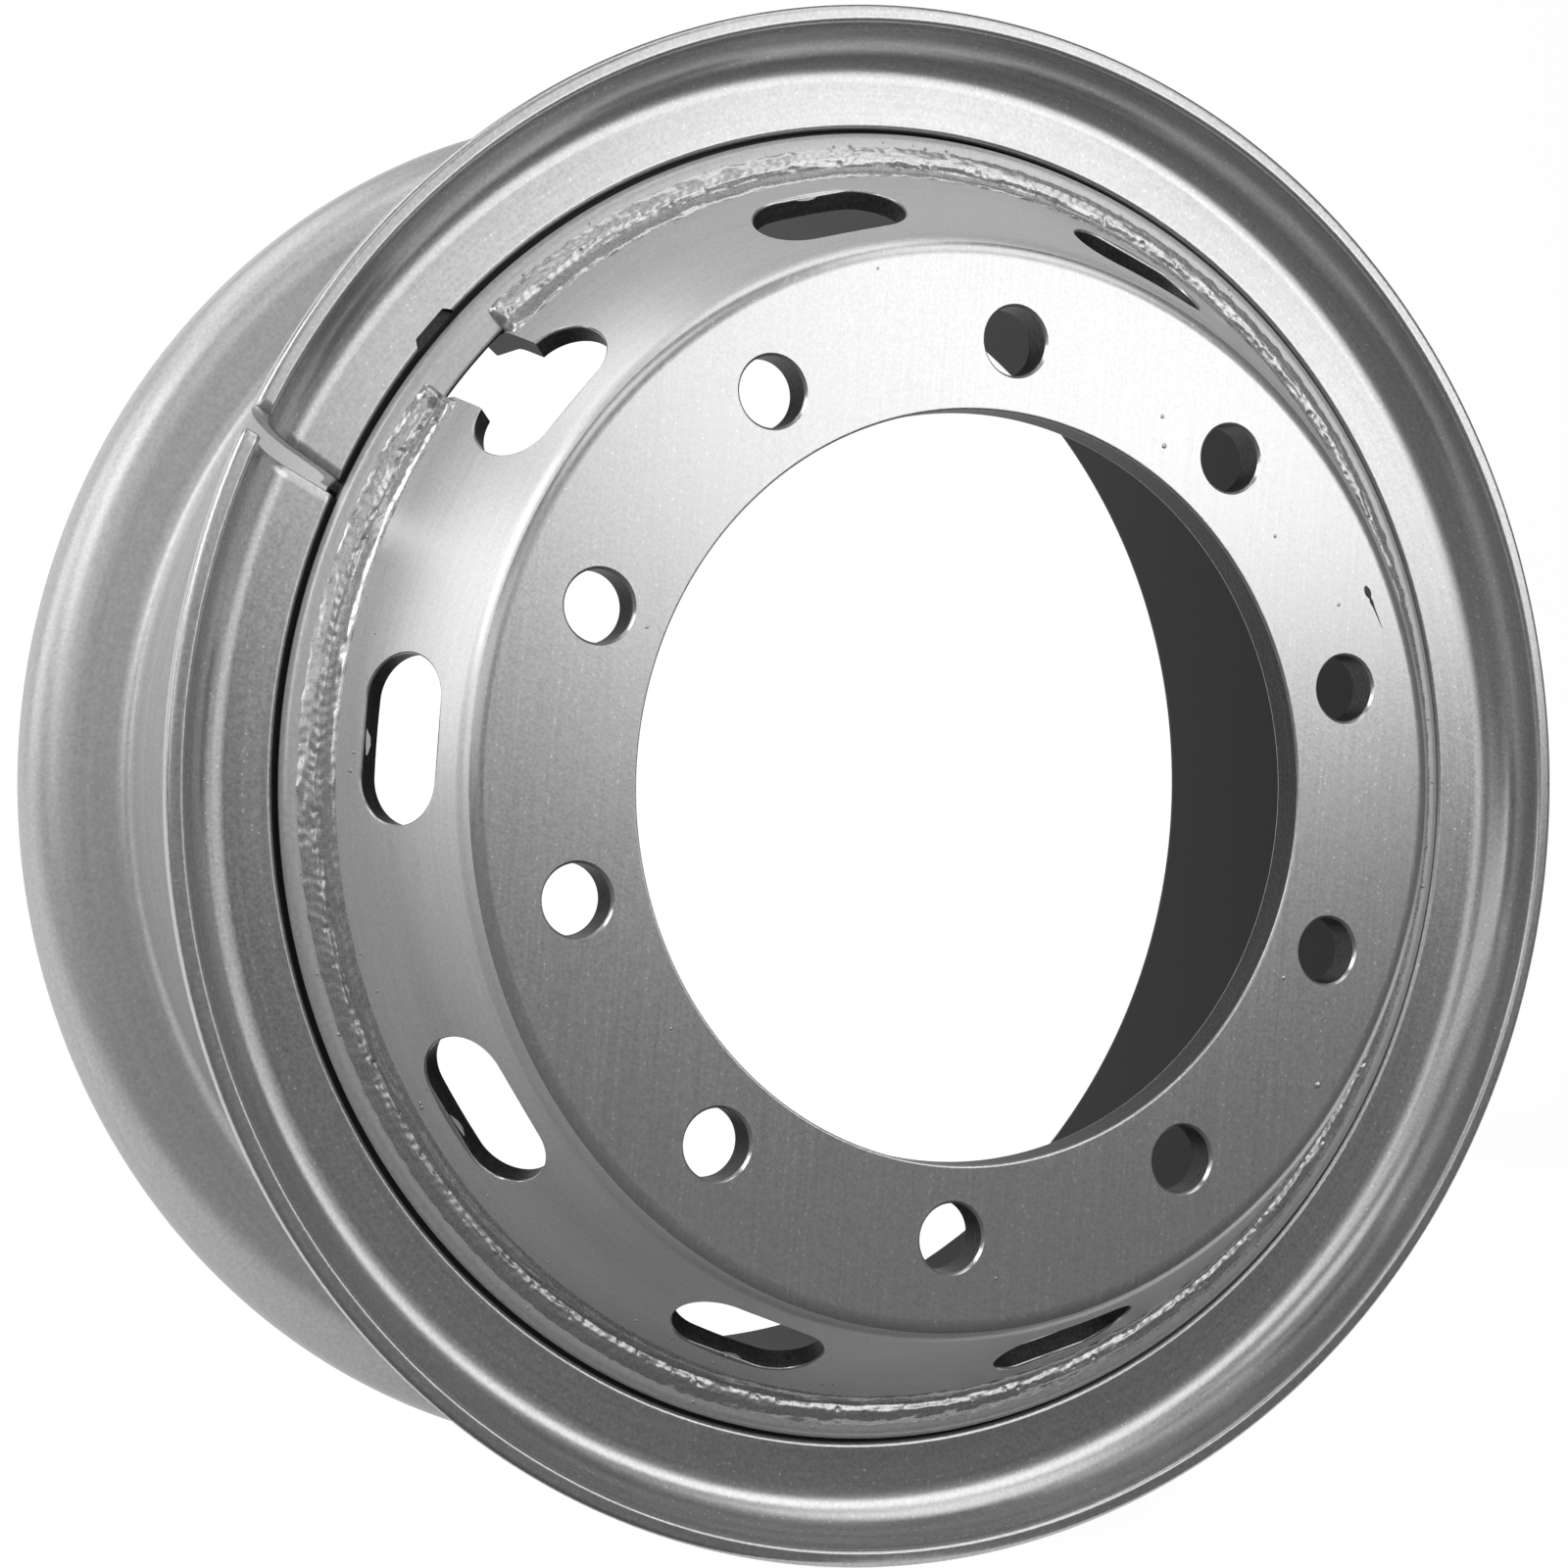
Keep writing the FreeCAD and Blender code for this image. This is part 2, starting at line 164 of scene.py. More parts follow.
def hoop(name, outline):
    """An outline turned once round the axle."""
    rings = [around(outline, 360 * step / HOOP_STEPS) for step in range(HOOP_STEPS)]
    return skin(name, rings, closed=True)


def join(parts):
    """Many objects as one: the first of them."""
    for part in bpy.context.scene.objects:
        part.select_set(part in parts)
    bpy.context.view_layer.objects.active = parts[0]
    bpy.ops.object.join()
    return parts[0]


# %% [markdown]
# ## Holes
# Holes are cut with solid cutters, as a press does. The Boolean modifier gives a cut wall the cutter's own
# material, so a punched wall can look different from the painted face. The modifier is applied at once and
# the cutter is thrown away.

# %% Cutting, shading and settling
CREASE = 32
SOFT_CREASE = 60


def cut(piece, cutter):
    """Takes a cutter's shape out of a piece."""
    modifier = piece.modifiers.new("cut", "BOOLEAN")
    modifier.object = cutter
    modifier.operation = "DIFFERENCE"
    modifier.solver = "EXACT"
    modifier.material_mode = "TRANSFER"
    bpy.context.view_layer.update()
    whole = bpy.data.meshes.new_from_object(piece.evaluated_get(bpy.context.evaluated_depsgraph_get()))
    piece.modifiers.clear()
    piece.data = whole
    bpy.data.objects.remove(cutter)


def settle(piece, node, crease=CREASE):
    """Smooth shading that breaks at creases. The piece stands for a CAD node and rides with the wheel."""
    piece.data.polygons.foreach_set("use_smooth", [True] * len(piece.data.polygons))
    piece.data.set_sharp_from_angle(angle=math.radians(crease))
    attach(piece, "root")
    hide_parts(node)
    print(f"{piece.name}: {len(piece.data.polygons)} faces for {node}")


def wear(piece, finishes, numbers=(0,)):
    """The finishes of a skin. Its faces take these numbers of finishes in turn, and caps take the first."""
    for material in finishes:
        piece.data.materials.append(material)
    faces = len(piece.data.polygons)
    rounds = faces // len(numbers)
    chosen = np.zeros(faces, int)
    chosen[:rounds * len(numbers)] = np.tile(numbers, rounds)
    piece.data.polygons.foreach_set("material_index", chosen)


def axes(degrees):
    """At an angle round the axle: the way out from it, the way on round it and the way along it."""
    turn = math.radians(degrees)
    out = np.array([math.cos(turn), 0, math.sin(turn)])
    return out, np.array([-out[2], 0, out[0]]), np.array([0, 1, 0])


def points_at(degrees, radius, beside, along):
    """Points given in millimetres by those three ways, as metres."""
    radius, beside, along = np.broadcast_arrays(radius, beside, along)
    out, aside, axle = axes(degrees)
    return (np.outer(radius, out) + np.outer(beside, aside) + np.outer(along, axle)) * MM


def slot_shape(length, width, points):
    """The outline of a slot with round ends: its places lengthwise and across."""
    spin = np.linspace(0, 2 * math.pi, points, endpoint=False)
    lengthwise = width / 2 * np.cos(spin) + (length - width) / 2 * np.sign(np.cos(spin))
    return lengthwise, width / 2 * np.sin(spin)


# %% [markdown]
# ## Silver wheel paint
# Wheels like this are sprayed with aluminium paint: tiny flakes of metal in a clear binder. The flakes
# mostly lie flat, so the paint mirrors the room in a blurred way, and the few that stand up scatter light
# like chalk does. A part-metallic surface of middling roughness gives both. The flakes are far too small to
# show from here, so their grain is drawn about a millimetre across. Steel that was rolled or drawn keeps
# faint streaks along the way that it ran. The finish mixes two close greys by the grain and by the streak.
# The streak of a rolled hoop has to run round the axle, so its noise is laid out by radius, place along the
# axle and direction, instead of by x, y and z.

# %% Colours, nodes and finishes
STREAK_STRETCH = 60
STREAK_RADIUS = 0.27
STREAK_SHARE = 0.35
GLOSS_SWING = 0.07
NOISE_DETAIL = 3.0
TONE_LOW = 0.3
TONE_HIGH = 0.7


def linear(colour):
    """A colour written as sRGB hex, as the linear numbers that a shader takes."""
    parts = [int(colour[start:start + 2], 16) / 255 for start in (1, 3, 5)]
    return tuple(p / 12.92 if p <= 0.04045 else ((p + 0.055) / 1.055) ** 2.4 for p in parts) + (1.0,)


def add_node(tree, kind, inputs, **settings):
    """A node with its settings; an input is a number, a colour or another node's output."""
    node = tree.nodes.new(kind)
    for key, setting in settings.items():
        setattr(node, key, setting)
    for socket, given in inputs.items():
        if isinstance(given, bpy.types.NodeSocket):
            tree.links.new(given, node.inputs[socket])
        else:
            node.inputs[socket].default_value = given
    return node


def grains(size):
    """The scale of a noise whose grains are this many millimetres."""
    return 1 / (size * MM)


def laid_out(tree, place, way):
    """Where a streak's noise is read, as a vector and a fourth number, for rolled or drawn steel."""
    part = add_node(tree, "ShaderNodeSeparateXYZ", {"Vector": place}).outputs
    if way == "drawn":
        slow = add_node(tree, "ShaderNodeMath", {0: part["Z"], 1: 1 / STREAK_STRETCH}, operation="MULTIPLY")
        ends = {"X": part["X"], "Y": part["Y"], "Z": slow.outputs[0]}
        return add_node(tree, "ShaderNodeCombineXYZ", ends).outputs[0], 0.0
    flat = add_node(tree, "ShaderNodeCombineXYZ", {"X": part["X"], "Z": part["Z"]}).outputs[0]
    radius = add_node(tree, "ShaderNodeVectorMath", {0: flat}, operation="LENGTH").outputs["Value"]
    facing = add_node(tree, "ShaderNodeVectorMath", {0: flat}, operation="NORMALIZE").outputs[0]
    stretch = {0: facing, "Scale": STREAK_RADIUS / STREAK_STRETCH}
    slow = add_node(tree, "ShaderNodeVectorMath", stretch, operation="SCALE").outputs[0]
    turn = add_node(tree, "ShaderNodeSeparateXYZ", {"Vector": slow}).outputs
    ends = {"X": radius, "Y": part["Y"], "Z": turn["X"]}
    return add_node(tree, "ShaderNodeCombineXYZ", ends).outputs[0], turn["Z"]


def finish(name, light, dark, metallic, roughness, grain, bumps, way="rolled", streak=2.0, scratches=0.006):
    """A finish of two greys. Grain, bumps, the streak's width and its scratches are in millimetres."""
    material = bpy.data.materials.new(name)
    material.use_nodes = True
    tree = material.node_tree
    place = add_node(tree, "ShaderNodeTexCoord", {}).outputs["Object"]
    spray = {"Vector": place, "Scale": grains(grain), "Detail": NOISE_DETAIL}
    speck = add_node(tree, "ShaderNodeTexNoise", spray).outputs["Fac"]
    vector, fourth = laid_out(tree, place, way)
    steel = {"Vector": vector, "W": fourth, "Scale": grains(streak), "Detail": NOISE_DETAIL}
    run = add_node(tree, "ShaderNodeTexNoise", steel, noise_dimensions="4D").outputs["Fac"]
    both = add_node(tree, "ShaderNodeMix", {"Factor": STREAK_SHARE, "A": speck, "B": run}).outputs["Result"]
    span = {"Value": both, "From Min": TONE_LOW, "From Max": TONE_HIGH}
    tone = add_node(tree, "ShaderNodeMapRange", span).outputs["Result"]
    greys = {"Factor": tone, "A": linear(dark), "B": linear(light)}
    colour = add_node(tree, "ShaderNodeMix", greys, data_type="RGBA").outputs["Result"]
    swing = {"Value": both, "To Min": roughness - GLOSS_SWING, "To Max": roughness + GLOSS_SWING}
    gloss = add_node(tree, "ShaderNodeMapRange", swing).outputs["Result"]
    ridge = {"Height": run, "Strength": 1.0, "Distance": scratches * MM}
    ridges = add_node(tree, "ShaderNodeBump", ridge).outputs["Normal"]
    peel = {"Height": speck, "Strength": 1.0, "Distance": bumps * MM, "Normal": ridges}
    normal = add_node(tree, "ShaderNodeBump", peel).outputs["Normal"]
    shader = tree.nodes["Principled BSDF"]
    shader.inputs["Metallic"].default_value = metallic
    tree.links.new(colour, shader.inputs["Base Color"])
    tree.links.new(gloss, shader.inputs["Roughness"])
    tree.links.new(normal, shader.inputs["Normal"])
    return material


# %% [markdown]
# The wheel has seven finishes. Four are the same silver paint on steel with a different past, because what
# lies under a thin coat decides how it takes the light. The fifth is that paint made whiter on the cone, as
# painted light. The other two are painted shade, dark and dull, in the drum and on the cut walls.

# %% The wheel's finishes
# Flat plate that was drawn straight through a mill: even and satin, with faint streaks straight down it.
disc_paint = finish("silver_paint_on_pressed_steel", "#c4c4c4", "#aaaaaa", metallic=0.7, roughness=0.25,
                    grain=1.1, bumps=0.02, way="drawn", streak=1.4, scratches=0.003)
# Painted light on the cone: whiter and softer than the flat, with no clear mirror image.
painted_light_cone_paint = finish("silver_paint_with_painted_light_on_the_cone", "#dcdcdc", "#c6c6c6", metallic=0.45,
                    roughness=0.36, grain=1.1, bumps=0.02, streak=1.4, scratches=0.003)
# Rolled section: satin bands of light that run round the ring, with fine lines along them.
ring_paint = finish("silver_paint_on_rolled_steel", "#c6c6c6", "#a2a2a2", metallic=0.7, roughness=0.25,
                    grain=1.3, bumps=0.02, streak=1.6)
# Sand-blasted steel: a coarse orange peel, more chalk than mirror.
rim_paint = finish("silver_paint_on_blasted_steel", "#cccccc", "#b0b0b0", metallic=0.35, roughness=0.36,
                   grain=1.6, bumps=0.05, streak=2.4)
# Ripples and scale under the paint: it glitters in small broken highlights.
weld_paint = finish("silver_paint_on_weld", "#cccccc", "#a4a4a4", metallic=0.65, roughness=0.28,
                    grain=0.9, bumps=0.03, streak=1.2)
# Painted shade for the drum and the groove under the ring: dull and dark, so the openings look deep.
drum_painted_shade = finish("painted_shade_in_drum_and_groove", "#2a2a2a", "#1c1c1c", metallic=0.3, roughness=0.6,
                    grain=1.6, bumps=0.02, streak=3.0)
# Painted shade on cut walls: dark, with lighter flecks.
painted_shade_cut_walls = finish("cut_steel_wall_with_painted_shade", "#505050", "#282828", metallic=0.6, roughness=0.5,
                 grain=1.4, bumps=0.25)
print("finishes:", ", ".join(material.name for material in bpy.data.materials))

# %% [markdown]
# ## The rim
# The rim is one strip of steel, rolled to a section and welded into a hoop. From the front: the gutter that
# holds the side ring, the straight drum, the tapered seat for the tyre's bead and the fixed flange at the
# back. The slot in the drum lets the tyre's valve through. The hoop's faces follow the section's points, so
# a finish can be given by the place of each band in the section: the drum's inside and the groove under the
# ring are painted dark, as painted shade.

# %% Rim
SEAT = 257.2
FLANGE = round(cad_box[1][0] / MM, 2)
LIP = round(cad_box[1][1] / MM, 2)
WALL = 7.0
GUTTER_FRONT = -101.0
GUTTER_IN = 237.0
NOSE = 253.0
GROOVE = 247.0
GROOVE_START = -94.0
GROOVE_END = -77.0
BASE = 252.8
BASE_IN = BASE - 6.5
STEP_END = -70.0
SEAT_START = 45.25
FLANGE_FACE = 95.25
rim_outline = rounded([
    (GUTTER_IN, GUTTER_FRONT, 2.5), (NOSE, GUTTER_FRONT, 4.0), (NOSE, GROOVE_START, 0.5),
    (GROOVE, GROOVE_START, 0.8), (GROOVE, GROOVE_END, 0.8), (BASE, GROOVE_END, 1.0),
    (BASE, SEAT_START, 30.0),
    (SEAT, FLANGE_FACE, 8.0), (FLANGE, FLANGE_FACE, 20.0), (FLANGE, LIP, 2.0), (FLANGE - WALL, LIP, 2.0),
    (FLANGE - WALL, FLANGE_FACE + WALL, 13.0), (BASE_IN, FLANGE_FACE + WALL, 7.0), (BASE_IN, STEP_END, 3.0),
    (GUTTER_IN, GROOVE_END, 3.0),
])
rim = hoop("rolled_rim", rim_outline)
radius, along = band_middles(rim_outline)
# The drum's inside and the groove under the ring: painted shade.
painted_shade_inside = (radius < GROOVE + 0.2) & (along > GROOVE_END - 0.5) | (radius < GUTTER_IN + 1)
painted_shade_under_ring = (radius > GROOVE - 2) & (radius < NOSE + 0.2)
painted_shade_under_ring &= (along > GROOVE_START - 3.5) & (along < GROOVE_END + 1)
wear(rim, (rim_paint, drum_painted_shade), (painted_shade_inside | painted_shade_under_ring).astype(int))

VALVE_ANGLE = 144.0
SLOT_LENGTH = 34.0
SLOT_WIDTH = 16.0
SLOT_PLACE = -48.0
SLOT_POINTS = 48
SLOT_ENDS = (235.0, 265.0)
lengthwise, across = slot_shape(SLOT_LENGTH, SLOT_WIDTH, SLOT_POINTS)
along = SLOT_PLACE + lengthwise
slot = skin("valve_slot", [points_at(VALVE_ANGLE, end, across, along) for end in SLOT_ENDS])
# The slot's wall takes painted shade.
wear(slot, (painted_shade_cut_walls,))
cut(rim, slot)
settle(rim, "rim_base")

# %% [markdown]
# ## The side ring
# The ring is rolled like the rim and then sawn through, so that it can be sprung over the gutter's lip. The
# saw cut stands open and a little skew, wider at the lip than at the toe. Its edges were broken with a
# grinder: the first rings at each end are drawn slightly smaller, which gives that bevel. A notch for the
# tyre lever is milled in the ring's inner edge, right above the valve, and the lip carries one small nick.
# The toe, down in the groove, is painted dark: painted shade.

# %% Side ring
RING_FRONT = -97.0
RING_CURL = 25.4
RING_EDGE = 254.5
RING_HEEL = 257.0
RING_PLAY = 0.3
RING_TOE = GROOVE + RING_PLAY
RING_BACK = GROOVE_END - RING_PLAY
ring_outline = rounded([
    (FLANGE, -LIP, 2.0), (FLANGE - WALL, -LIP, 2.0), (FLANGE - WALL, RING_FRONT, RING_CURL - WALL),
    (RING_EDGE, RING_FRONT, 2.2), (RING_EDGE, GROOVE_START, 0.3), (RING_TOE, GROOVE_START, 0.8),
    (RING_TOE, RING_BACK, 0.8), (RING_HEEL, RING_BACK, 1.0), (RING_HEEL, RING_FRONT + WALL, 8.0),
    (FLANGE, RING_FRONT + WALL, RING_CURL),
])

SPLIT_ANGLE = 159.2
SPLIT_SLANT = 4.9
SPLIT_WIDTH = 6.0
SPLIT_MOUTH = 8.6
FLANGE_HEIGHT = 41.3
SPLIT_RADIUS = SEAT + FLANGE_HEIGHT / 2
BEVELS = ((0.0, 0.55), (0.2, 0.2))
BEVEL_END = 0.55


def split_side(side, back):
    """The angle of a split face at each point of the section, on side 1 or -1 and this far back."""
    flare = math.atan((SPLIT_MOUTH - SPLIT_WIDTH) / 2 / FLANGE_HEIGHT)
    across = math.radians(SPLIT_ANGLE - SPLIT_SLANT) + side * flare
    along = np.array([math.cos(across), math.sin(across)])
    aside = np.array([-along[1], along[0]]) * side
    start = SPLIT_RADIUS * axes(SPLIT_ANGLE)[0][[0, 2]] + aside * ((SPLIT_WIDTH + SPLIT_MOUTH) / 4 + back)
    middle = start @ along
    reach = -middle + np.sqrt(middle ** 2 - start @ start + ring_outline[:, 0] ** 2)
    points = start + reach[:, None] * along
    return np.degrees(np.arctan2(points[:, 1], points[:, 0]))


def shrunk(outline, inset):
    """An outline drawn in by a distance: each point moves square to its neighbours."""
    following = np.roll(outline, -1, axis=0)
    run = following - np.roll(outline, 1, axis=0)
    square = np.stack([run[:, 1], -run[:, 0]], axis=1) / np.linalg.norm(run, axis=1)[:, None]
    turn = np.sign(np.sum(outline[:, 0] * following[:, 1] - following[:, 0] * outline[:, 1]))
    return outline - square * inset * turn


first = split_side(1, BEVEL_END)
last = split_side(-1, BEVEL_END) + 360
rings = [around(shrunk(ring_outline, inset), split_side(1, back)) for back, inset in BEVELS]
rings += [around(ring_outline, first + (last - first) * step / HOOP_STEPS) for step in range(HOOP_STEPS + 1)]
rings += [around(shrunk(ring_outline, inset), split_side(-1, back)) for back, inset in reversed(BEVELS)]
ring = skin("split_side_ring", rings)
radius, along = band_middles(ring_outline)
# The ring's toe, in the groove: painted shade.
painted_shade_toe = (radius < RING_EDGE + 0.1) & (along > GROOVE_START - 1.6)
wear(ring, (ring_paint, drum_painted_shade), painted_shade_toe.astype(int))

# %% [markdown]
# The lever's notch is an octagon cut by the ring's edge, so its outer corners are clipped. The nick is a
# dent from a tool that slipped: narrow, and only as deep as a scratch.

# %% Pry notch and nick
PRY_HALF = 10.0
PRY_CORNER = 7.8
PRY_SHOULDER = 1.2
PRY_DEPTH = 4.0
PRY_BELOW = 8.0
PRY_ENDS = (-99.5, GROOVE_START)
NICK_ANGLE = 3.6
NICK_SIDES = np.array([-1.4, -1.4, 1.0, 1.0])
NICK_ALONG = np.array([-120.0, -113.5, -113.5, -120.0])
NICK_ENDS = (297.9, 300.0)
beside = np.array([-PRY_HALF, -PRY_HALF, -PRY_CORNER, PRY_CORNER, PRY_HALF, PRY_HALF])
rise = np.array([-PRY_BELOW, PRY_SHOULDER, PRY_DEPTH, PRY_DEPTH, PRY_SHOULDER, -PRY_BELOW])
pry = skin("pry_notch", [points_at(VALVE_ANGLE, RING_EDGE + rise, beside, end) for end in PRY_ENDS])
nick = skin("nick", [points_at(NICK_ANGLE, end, NICK_SIDES, NICK_ALONG) for end in NICK_ENDS])
# The walls of the notch and the nick take painted shade.
for cutter in (pry, nick):
    wear(cutter, (painted_shade_cut_walls,))
cut(ring, join([pry, nick]))
settle(ring, "side_ring")

# %% [markdown]
# ## The disc
# The disc starts as a flat plate. A press forms the cone, and a second stroke punches the bore, the ten
# stud holes and the ten hand holes. The bore's wall is painted dark as painted shade, the flat takes the
# even coat and the cone a whiter copy of it, as painted light.

# %% Disc
FACE = round(cad_box[0][1] / MM, 2)
PLATE = 14.0
BORE = 140.5
FOOT = 203.6
SKIRT = 236.7
SKIRT_WALL = 8.0
SKIRT_END = -78.0
CONE_END = -104.7
CONE = math.atan2(CONE_END - FACE, SKIRT - FOOT)
CONE_WALL = 8.0
SKIRT_IN = SKIRT - SKIRT_WALL
cone_depth = CONE_WALL / math.cos(CONE)
dish_radius = FOOT + (PLATE - cone_depth) / math.tan(CONE)
dish_end = FACE + (SKIRT_IN - FOOT) * math.tan(CONE) + cone_depth
disc_outline = rounded([
    (BORE, FACE, 0.8), (FOOT, FACE, 10.0), (SKIRT, CONE_END, 4.0), (SKIRT, SKIRT_END, 1.0),
    (SKIRT_IN, SKIRT_END, 1.0), (SKIRT_IN, dish_end, 12.0), (dish_radius, FACE + PLATE, 8.0),
    (BORE, FACE + PLATE, 0.8),
])
disc = hoop("pressed_disc", disc_outline)
radius, along = band_middles(disc_outline)
# The bore's wall takes painted shade, and the cone takes painted light.
coat = np.where(radius < BORE + 0.01, 1, np.where(radius > FOOT, 2, 0))
wear(disc, (disc_paint, painted_shade_cut_walls, painted_light_cone_paint), coat)

# %% [markdown]
# The stud holes have a small bevel at both ends. The hand holes are slots in the cone, with an edge that
# rolled over where the punch went in. The paint covers the bevels, and the walls are painted dark as
# painted shade. The valve notch then opens one hand hole outwards.

# %% Stud holes, hand holes and valve notch
HOLES = 10
PITCH = 360 / HOLES
STUD_CIRCLE = 335.0 / 2
STUD_HOLE = 13.0
STUD_POINTS = 96
STUD_PROFILE = ((-2.0, 3.0), (0.7, 0.3), (1.15, 0.0), (PLATE - 1, 0.0), (PLATE + 2, 3.0))
STUD_BANDS = (0, 0, 1, 0)
HAND_RADIUS = 220.2
HAND_LENGTH = 60.5
HAND_HEIGHT = 33.0
HAND_POINTS = 144
HAND_PROFILE = ((1.2, 2.55), (-0.1206, 0.45), (-0.45, 0.1206), (-0.9, 0.0), (-CONE_WALL - 14, 0.0))
HAND_BANDS = (0, 0, 0, 1)
NOTCH_WIDTH = 32.0
NOTCH_ENDS = (FACE - 5, -70.0)


def on_cone(radius):
    """The place along the axle of the cone's outside at a radius."""
    return FACE + (radius - FOOT) * math.tan(CONE)


def stud_cutter(number):
    """A bevelled drill. Its profile is pairs of depth under the face and widening."""
    centre = STUD_CIRCLE * axes(90 + PITCH * number)[0]
    spin = np.linspace(0, 2 * math.pi, STUD_POINTS, endpoint=False)
    rings = []
    for depth, wider in STUD_PROFILE:
        reach = STUD_HOLE + wider
        circle = [reach * np.cos(spin), np.full(STUD_POINTS, FACE + depth), reach * np.sin(spin)]
        rings.append((centre + np.stack(circle, axis=1)) * MM)
    return skin("stud_hole", rings)


def hand_cutter(number):
    """A slot punch, square to the cone and bent along it. Its profile is pairs of height and widening."""
    out, aside, axle = axes(PITCH * number)
    slope = math.cos(CONE) * out + math.sin(CONE) * axle
    up = math.sin(CONE) * out - math.cos(CONE) * axle
    middle = HAND_RADIUS * out + on_cone(HAND_RADIUS) * axle
    rings = []
    for height, wider in HAND_PROFILE:
        u, v = slot_shape(HAND_LENGTH + 2 * wider, HAND_HEIGHT + 2 * wider, HAND_POINTS)
        near = HAND_RADIUS + v * math.cos(CONE)
        sag = (np.sqrt(near ** 2 + u ** 2) - near) * math.sin(CONE)
        rings.append((middle + np.outer(u, aside) + np.outer(v, slope) + np.outer(height - sag, up)) * MM)
    return skin("hand_hole", rings)


# The walls of the stud and hand holes take painted shade.
cutters = []
for number in range(HOLES):
    stud, hand = stud_cutter(number), hand_cutter(number)
    wear(stud, (disc_paint, painted_shade_cut_walls), np.repeat(STUD_BANDS, STUD_POINTS))
    wear(hand, (disc_paint, painted_shade_cut_walls), np.repeat(HAND_BANDS, HAND_POINTS))
    cutters += [stud, hand]
cut(disc, join(cutters))
notch_radius = np.array([HAND_RADIUS, SKIRT + 8, SKIRT + 8, HAND_RADIUS])
notch_side = np.array([-1, -1, 1, 1]) * NOTCH_WIDTH / 2
notch = skin("valve_notch", [points_at(VALVE_ANGLE, notch_radius, notch_side, end) for end in NOTCH_ENDS])
# The notch's walls take painted shade.
wear(notch, (painted_shade_cut_walls,))
cut(disc, notch)
settle(disc, "wheel_disc")

# %% [markdown]
# ## The weld
# A machine laid this bead in two passes while the wheel turned: a narrow one up on the cone and a broad one
# down on the gutter's face, with a crease between them. The bead has a section of its own, and noise lifts
# its points: slow swells, strands that run along it, ripples that the pool left as it froze, grit, and pits
# beside the crease. It stops short of the valve notch. Each end is a swollen blob, and one gas hole stands
# open near an end.

# %% Weld bead
BEAD_STEPS = 1800
BEAD_POINTS = 27
BEAD_FIRST = 148.2
BEAD_LAST = 139.9 + 360
BEAD_RADIUS = 240.0
BEAD_OUTER = 247.2
ARC = math.radians(BEAD_RADIUS)
SWELL_LENGTH, SWELL_HEIGHT = 12.0, 0.3
STRAND_LENGTH, STRAND_HEIGHT = 9.0, 0.3
GRIT_LENGTH, GRIT_HEIGHT = 2.4, 0.1
RIPPLE_LENGTH, RIPPLE_HEIGHT = 4.2, 0.05
PIT_LENGTH, PIT_DEPTH, PIT_RARITY = 1.6, 3.0, 0.38
PIT_BAND, PIT_SPREAD = 0.55, 0.16
BLOB_HEIGHT, BLOB_PLACE, BLOB_SPREAD = 1.1, 3.0, 2.4
END_DROP, END_SPREAD = 0.8, 1.2
PORE_ANGLE, PORE_SHARE, PORE_RADIUS, PORE_DEPTH = 150.8, 0.22, 1.2, 1.7
PORE_RIM, PORE_RIM_HEIGHT, PORE_RIM_SPREAD = 1.7, 0.4, 0.6
SWAY = 0.9
crest = np.array([
    (234.9, -107.6), (235.7, -107.4), (236.9, -106.3), (238.0, -104.7), (238.8, -103.2), (239.3, -102.3),
    (240.2, -102.5), (241.6, -102.8), (243.4, -102.6), (245.2, -102.0), (246.4, -101.4),
    (BEAD_OUTER, -100.95),
])
root = np.array([(BEAD_OUTER, -100.9), (236.9, -100.9), (236.5, -104.6)])
length = np.concatenate([[0], np.cumsum(np.linalg.norm(np.diff(crest, axis=0), axis=1))])
share = np.linspace(0, 1, BEAD_POINTS)
path = np.stack([np.interp(share * length[-1], length, crest[:, side]) for side in (0, 1)], axis=1)
run = np.gradient(path, axis=0)
square = np.stack([run[:, 1], -run[:, 0]], axis=1) / np.linalg.norm(run, axis=1)[:, None]


def hill(place, middle, spread):
    """A smooth hill, 1 high."""
    return math.exp(-((place - middle) / spread) ** 2)


def bead_lift(place, t):
    """How far the bead stands proud at a place along it, in millimetres, and across it, from 0 to 1."""
    slow = noise.noise((place / SWELL_LENGTH, t * 1.5, 0.0))
    strand = noise.noise((place / STRAND_LENGTH, t * 9, 3.0))
    grit = noise.noise((place / GRIT_LENGTH, t * 7, 7.0))
    ripple = math.sin(place * 2 * math.pi / RIPPLE_LENGTH + 3 * math.cos(t * 7) + 3 * slow)
    hollow = noise.noise((place / PIT_LENGTH, t * 7, 21.0)) - PIT_RARITY
    pit = max(0.0, hollow) * hill(t, PIT_BAND, PIT_SPREAD)
    raised = SWELL_HEIGHT * slow + STRAND_HEIGHT * strand + GRIT_HEIGHT * grit + RIPPLE_HEIGHT * ripple
    return raised - PIT_DEPTH * pit


def pore_lift(degrees, t):
    """The gas hole: a hollow with a raised edge."""
    away = math.hypot((degrees - PORE_ANGLE) * ARC, (t - PORE_SHARE) * length[-1])
    edge = PORE_RIM_HEIGHT * hill(away, PORE_RIM, PORE_RIM_SPREAD)
    return edge - PORE_DEPTH * math.exp(-(away / PORE_RADIUS) ** 4)


